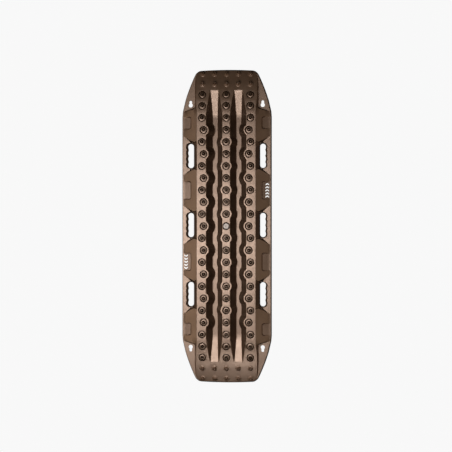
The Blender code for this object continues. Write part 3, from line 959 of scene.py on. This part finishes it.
def add_tooth(bm, place, sunk, rng):
    """A flange with a steep fluted pin, and the nut on its stud under the deck."""
    turned = place @ Matrix.Rotation(rng.uniform(0.0, math.pi / 2), 4, "Z")
    base, rim = (-RECESS_DEPTH + CLEARANCE, 0.2) if sunk else (0.25, 1.4)
    flange = [
        (9.9, base), (10.4, base + 0.3), (10.5, rim), (10.3, rim + 0.3), (9.9, rim + 0.5),
        (6.6, rim + 1.1), (5.0, rim + 1.2),
    ]
    lathe(bm, turned, flange, FLANGE_SIDES)
    pin = [
        (7.1, rim + 0.9), (6.8, rim + 2.2), (6.4, 6.0), (5.5, 12.4), (5.2, 12.8), (4.9, 12.9),
        (4.6, 12.6), (4.4, 12.0), (4.0, 7.0), (2.6, 6.4),
    ]
    # Painted shade: the pin of a sunk tooth takes the much darker copy of the metal, an end tooth's
    # pin a lighter one
    lathe(bm, turned, pin, FLANGE_SIDES, flute, SHADED_PIN if sunk else END_PIN)
    lathe(bm, turned, [(1.6, 6.0), (1.5, 10.6), (1.1, 11.0)], DOT_SIDES)
    under = -RECESS_DEPTH - SKIN - CLEARANCE if sunk else -SKIN - CLEARANCE
    turn = Matrix.Rotation(rng.uniform(0.0, 1.0), 4, "Z")
    nut = place @ Matrix.Translation((0.0, 0.0, under)) @ turn
    lathe(bm, nut, [(5.6, -4.2), (6.4, -3.8), (6.4, -0.4), (5.8, 0.0)], NUT_SIDES, None, STEEL)
    lathe(bm, nut, [(2.4, -6.2), (3.0, -5.7), (3.0, -4.2)], STUD_SIDES, None, STEEL)


def build_teeth(materials_with_painted_light):
    """One piece for each packed tooth node. The teeth on the end decks stand in no recess."""
    rng = random.Random(7)
    nodes = sorted(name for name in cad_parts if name.startswith("teeth_"))
    for node in nodes:
        bm = bmesh.new()
        for x, y in seats_of_node(node):
            add_tooth(bm, seat(x, y), abs(y) < RAMP_END, rng)
        name = node.replace("teeth_", "grip_teeth_")
        add_piece(name, bm, materials_with_painted_light, [node], SMALL_CREASE)


def build_cap(silver, steel):
    """The cap in the middle of the centre rib, and the clip that holds it from below."""
    place = seat(0.0, 0.0)
    bm = bmesh.new()
    base = -RECESS_DEPTH + CLEARANCE
    profile = [
        (10.4, base), (10.8, base + 0.4), (10.8, 0.6), (10.5, 1.2), (9.7, 1.7), (8.4, 2.0),
        (4.6, 2.05), (4.1, 1.85), (3.7, 1.4), (2.6, 1.2), (0.8, 1.15),
    ]
    lathe(bm, place, profile, CAP_SIDES)
    add_piece("cap_disc", bm, [silver], ["centre_cap"], 40.0)
    bm = bmesh.new()
    under = place @ Matrix.Translation((0.0, 0.0, -RECESS_DEPTH - SKIN - CLEARANCE))
    lathe(bm, under, [(6.2, -1.4), (6.9, -1.2), (7.0, -0.3), (6.8, 0.0)], CLIP_SIDES)
    lathe(bm, under, [(2.2, -3.6), (2.8, -3.0), (2.9, -1.4)], STUD_SIDES)
    add_piece("cap_push_clip", bm, [steel], ["centre_cap_clip"], SMALL_CREASE)


def build_marks(white):
    """Plain chevrons on the two marked ledges."""
    step = MARK_LENGTH / MARK_COUNT
    for side, turn in (("right", 0.0), ("left", math.pi)):
        bm = bmesh.new()
        spot = Matrix.Translation((MARK_X, LONG_LEDGE_Y, ledge_z(MARK_X)))
        lean = Matrix.Rotation(math.atan(LEDGE_SLOPE), 4, "Y")
        place = Matrix.Rotation(turn, 4, "Z") @ spot @ lean
        for i in range(MARK_COUNT):
            y = (i - (MARK_COUNT - 1) / 2) * step
            near = (MARK_STROKE - MARK_RISE) / 2
            far = (MARK_STROKE + MARK_RISE) / 2
            outline = [
                (-MARK_ARM, y - far), (0.0, y - near), (MARK_ARM, y - far),
                (MARK_ARM, y + near), (0.0, y + far), (-MARK_ARM, y + near),
            ]
            top = [(x * MARK_TAPER[0], y + (v - y) * MARK_TAPER[1]) for x, v in outline]
            low = [bm.verts.new(place @ Vector((x, v, MARK_LOW))) for x, v in outline]
            high = [bm.verts.new(place @ Vector((x, v, MARK_HIGH))) for x, v in top]
            for ring in (low, high):
                bm.faces.new((ring[0], ring[1], ring[4], ring[5]))
                bm.faces.new((ring[1], ring[2], ring[3], ring[4]))
            for k in range(len(outline)):
                j = (k + 1) % len(outline)
                bm.faces.new((low[k], low[j], high[j], high[k]))
        bmesh.ops.recalc_face_normals(bm, faces=bm.faces)
        add_piece("chevrons_" + side, bm, [white], ["marks_" + side], 30.0)


# ---------------------------------------------------------------- materials


NOISE_SPAN = (0.3, 0.7)
BRONZE_DARK = (0.205, 0.112, 0.060)
BRONZE = (0.225, 0.126, 0.070)
BRONZE_LIGHT = (0.245, 0.141, 0.082)
BRONZE_METALLIC = 0.55
BRONZE_REFLECTANCE = 1.4

# Name and brightness of each bronze copy, in the order of the materials of the deck and teeth. The
# wall, floor and pin copies are darkened as painted shade, and the rim copy is lightened as a painted
# highlight
DECK_SHADES = (
    ("bronze_nylon", 1.0),
    ("bronze_nylon_walls_painted_shade", 0.40),
    ("bronze_nylon_rim_painted_highlight", 2.2),
    ("bronze_nylon_floor_painted_shade", 0.86),
)
TOOTH_SHADE = ("bronze_anodised", 1.08)
PIN_SHADES = (("bronze_anodised_pin_painted_shade", 0.22), ("bronze_anodised_end_pin", 0.9))


def new_material(name):
    """A new material with its node tree and its shader."""
    mat = bpy.data.materials.new(name)
    mat.use_nodes = True
    tree = mat.node_tree
    return mat, tree, tree.nodes["Principled BSDF"]


def noise(tree, scale, detail=4.0):
    """Soft noise fixed to the object, scale times to a metre."""
    node = tree.nodes.new("ShaderNodeTexNoise")
    node.inputs["Scale"].default_value = scale
    node.inputs["Detail"].default_value = detail
    node.inputs["Roughness"].default_value = 0.55
    coordinates = tree.nodes.new("ShaderNodeTexCoord")
    tree.links.new(coordinates.outputs["Object"], node.inputs["Vector"])
    return node.outputs["Fac"]


def ramp(tree, source, stops):
    """Colours between stops of (position, colour)."""
    node = tree.nodes.new("ShaderNodeValToRGB")
    node.color_ramp.elements[0].position = stops[0][0]
    node.color_ramp.elements[0].color = (*stops[0][1], 1.0)
    node.color_ramp.elements[1].position = stops[-1][0]
    node.color_ramp.elements[1].color = (*stops[-1][1], 1.0)
    for position, colour in stops[1:-1]:
        node.color_ramp.elements.new(position).color = (*colour, 1.0)
    tree.links.new(source, node.inputs["Fac"])
    return node.outputs["Color"]


def map_range(tree, source, low, high):
    """The usual span of the noise, stretched to run from low to high."""
    node = tree.nodes.new("ShaderNodeMapRange")
    node.inputs["From Min"].default_value = NOISE_SPAN[0]
    node.inputs["From Max"].default_value = NOISE_SPAN[1]
    node.inputs["To Min"].default_value = low
    node.inputs["To Max"].default_value = high
    tree.links.new(source, node.inputs["Value"])
    return node.outputs["Result"]


def grain(tree, shader, scale, detail, strength, depth):
    """Fine bumps, depth metres high."""
    node = tree.nodes.new("ShaderNodeBump")
    node.inputs["Strength"].default_value = strength
    node.inputs["Distance"].default_value = depth
    tree.links.new(noise(tree, scale, detail), node.inputs["Height"])
    tree.links.new(node.outputs["Normal"], shader.inputs["Normal"])


def uneven(name, colour_noise, stops, roughness_noise, roughness, metallic):
    """A material whose colour and roughness drift. Each noise is a (scale, detail)."""
    mat, tree, shader = new_material(name)
    colour = ramp(tree, noise(tree, *colour_noise), stops)
    tree.links.new(colour, shader.inputs["Base Color"])
    drift = map_range(tree, noise(tree, *roughness_noise), *roughness)
    tree.links.new(drift, shader.inputs["Roughness"])
    shader.inputs["Metallic"].default_value = metallic
    return mat, tree, shader


def shaded(colour, shade):
    return tuple(value * shade for value in colour)


def bronze_nylon(name, shade):
    """Moulded nylon with metallic pigment: satin, faintly mottled, with a fine moulding grain. Shade
    scales its colour and reflection; the copies with other shades paint shade and a highlight onto the
    deck.
    """
    stops = (
        (0.32, shaded(BRONZE_DARK, shade)),
        (0.5, shaded(BRONZE, shade)),
        (0.68, shaded(BRONZE_LIGHT, shade)),
    )
    mat, tree, shader = uneven(name, (14.0, 3.0), stops, (90.0, 5.0), (0.35, 0.44), BRONZE_METALLIC)
    shader.inputs["IOR"].default_value = 1.0 + BRONZE_REFLECTANCE * shade
    grain(tree, shader, 1400.0, 3.0, 0.12, 0.0003)
    return mat


def bronze_metal(name, shade):
    """Anodised metal in the deck's colour, scaled by shade; the darker copies paint shade on the pins.
    """
    stops = ((0.3, shaded(BRONZE_DARK, shade)), (0.7, shaded(BRONZE_LIGHT, shade)))
    mat, tree, shader = uneven(name, (60.0,), stops, (300.0,), (0.36, 0.46), BRONZE_METALLIC)
    shader.inputs["IOR"].default_value = 1.0 + BRONZE_REFLECTANCE * shade
    grain(tree, shader, 2200.0, 2.0, 0.08, 0.0002)
    return mat


def silver_metal():
    stops = ((0.3, (0.42, 0.36, 0.32)), (0.7, (0.52, 0.46, 0.42)))
    mat, tree, shader = uneven("silver_anodised", (80.0,), stops, (400.0,), (0.48, 0.58), 0.7)
    grain(tree, shader, 2600.0, 2.0, 0.06, 0.0002)
    return mat


def plain_steel():
    stops = ((0.3, (0.30, 0.30, 0.31)), (0.7, (0.44, 0.44, 0.45)))
    mat, _, _ = uneven("plain_steel", (120.0,), stops, (500.0,), (0.24, 0.40), 1.0)
    return mat


def white_inlay():
    """White that gives a little light of its own, so that it stays white on the dark deck."""
    stops = ((0.3, (0.92, 0.92, 0.91)), (0.7, (0.97, 0.97, 0.96)))
    mat, tree, shader = uneven("white_inlay", (200.0,), stops, (500.0,), (0.42, 0.55), 0.0)
    shader.inputs["Emission Color"].default_value = (1.0, 1.0, 1.0, 1.0)
    shader.inputs["Emission Strength"].default_value = 0.35
    grain(tree, shader, 1800.0, 2.0, 0.08, 0.0002)
    return mat


# ---------------------------------------------------------------- stage


VIEW_TILT = 4.3
VIEW_DISTANCE = 5.0
VIEW_LENS = 108.2
VIEW_AIM = (-0.0035, 0.0005, 0.010)
SENSOR_WIDTH = 36.0
VIEW_REACH = 60.0
FLOOR_GREY = 0.94
FLOOR_HALF = 12.0
FLOOR_DROP = 0.0006
BACKDROP_RADIUS = 14.0
KEY_PLACE = (-0.30, -0.07, 1.4)
KEY_SIZE = (0.75, 0.95)
KEY_POWER = 11.2
WORLD = 0.02
SIDE_PLACE = (2.2, -0.25, 0.9)
SIDE_AIM = (0.13, -0.1, 0.03)
SIDE_SIZE = (1.6, 0.5)
SIDE_COLOUR = (1.0, 0.84, 0.64)
SIDES = (("side_left", -1.0, 5.4), ("side_right", 1.0, 3.6))
SPOT_SIZE = (0.3, 0.3)
SPOT_SPREAD = 30.0
SPOTS = (
    ("ramp_low", (0.0, 0.85, 1.4), (0.0, -0.455, 0.02), 0.30),
    ("ramp_high", (0.0, -0.85, 1.4), (0.0, 0.455, 0.02), 0.17),
    ("end_low", (0.0, -1.1, 1.3), (0.0, -0.54, 0.03), 0.08),
)


def build_camera():
    """Looks down on the board from almost straight above, leaning towards its +X side."""
    tilt = math.radians(VIEW_TILT)
    data = bpy.data.cameras.new("camera")
    data.lens = VIEW_LENS
    data.sensor_width = SENSOR_WIDTH
    data.clip_end = VIEW_REACH
    camera = bpy.data.objects.new("camera", data)
    bpy.context.scene.collection.objects.link(camera)
    camera.rotation_euler = (0.0, tilt, 0.0)
    away = Vector((math.sin(tilt), 0.0, math.cos(tilt)))
    camera.location = Vector(VIEW_AIM) + away * VIEW_DISTANCE
    bpy.context.scene.camera = camera


def pale_shell(name, bm):
    """Floor or backdrop that the camera sees but that puts no light on the board."""
    mat, _, shader = new_material(name)
    shader.inputs["Base Color"].default_value = (0.0, 0.0, 0.0, 1.0)
    shader.inputs["Roughness"].default_value = 1.0
    shader.inputs["Specular IOR Level"].default_value = 0.0
    shader.inputs["Emission Color"].default_value = (1.0, 1.0, 1.0, 1.0)
    shader.inputs["Emission Strength"].default_value = FLOOR_GREY
    mesh = bpy.data.meshes.new(name)
    bm.to_mesh(mesh)
    bm.free()
    mesh.materials.append(mat)
    shell = bpy.data.objects.new(name, mesh)
    shell.visible_diffuse = False
    shell.visible_glossy = False
    shell.visible_shadow = False
    bpy.context.scene.collection.objects.link(shell)


def build_backdrop():
    bm = bmesh.new()
    bmesh.ops.create_grid(bm, x_segments=1, y_segments=1, size=FLOOR_HALF)
    bmesh.ops.translate(bm, verts=bm.verts, vec=(0.0, 0.0, -FLOOR_DROP))
    pale_shell("floor", bm)
    bm = bmesh.new()
    bmesh.ops.create_uvsphere(bm, u_segments=32, v_segments=16, radius=BACKDROP_RADIUS)
    pale_shell("backdrop", bm)


def add_area(name, place, aim, size, power, spread=180.0, colour=(1.0, 1.0, 1.0)):
    data = bpy.data.lights.new(name, "AREA")
    data.shape = "RECTANGLE"
    data.size, data.size_y = size
    data.energy = power
    data.spread = math.radians(spread)
    data.color = colour
    light = bpy.data.objects.new(name, data)
    light.location = place
    light.rotation_euler = (Vector(aim) - Vector(place)).to_track_quat("-Z", "Y").to_euler()
    light.visible_camera = False
    bpy.context.scene.collection.objects.link(light)


def build_lights():
    """A large key light above, a warm one on each side, and spots on the ramps and one end."""
    world = bpy.data.worlds.new("world")
    world.use_nodes = True
    background = world.node_tree.nodes["Background"]
    background.inputs["Color"].default_value = (1.0, 1.0, 1.0, 1.0)
    background.inputs["Strength"].default_value = WORLD
    bpy.context.scene.world = world
    add_area("key", KEY_PLACE, (0.0, 0.0, 0.0), KEY_SIZE, KEY_POWER)
    for name, sign, power in SIDES:
        place = (sign * SIDE_PLACE[0], *SIDE_PLACE[1:])
        aim = (sign * SIDE_AIM[0], *SIDE_AIM[1:])
        add_area(name, place, aim, SIDE_SIZE, power, colour=SIDE_COLOUR)
    for name, place, aim, power in SPOTS:
        add_area(name, place, aim, SPOT_SIZE, power, SPOT_SPREAD)
    bpy.context.scene.view_settings.view_transform = "Standard"


def main():
    build_camera()
    build_backdrop()
    build_lights()
    steel = plain_steel()
    build_deck([bronze_nylon(*shade) for shade in DECK_SHADES])
    pins = [bronze_metal(*shade) for shade in PIN_SHADES]
    build_teeth([bronze_metal(*TOOTH_SHADE), steel, *pins])
    build_cap(silver_metal(), steel)
    build_marks(white_inlay())


main()
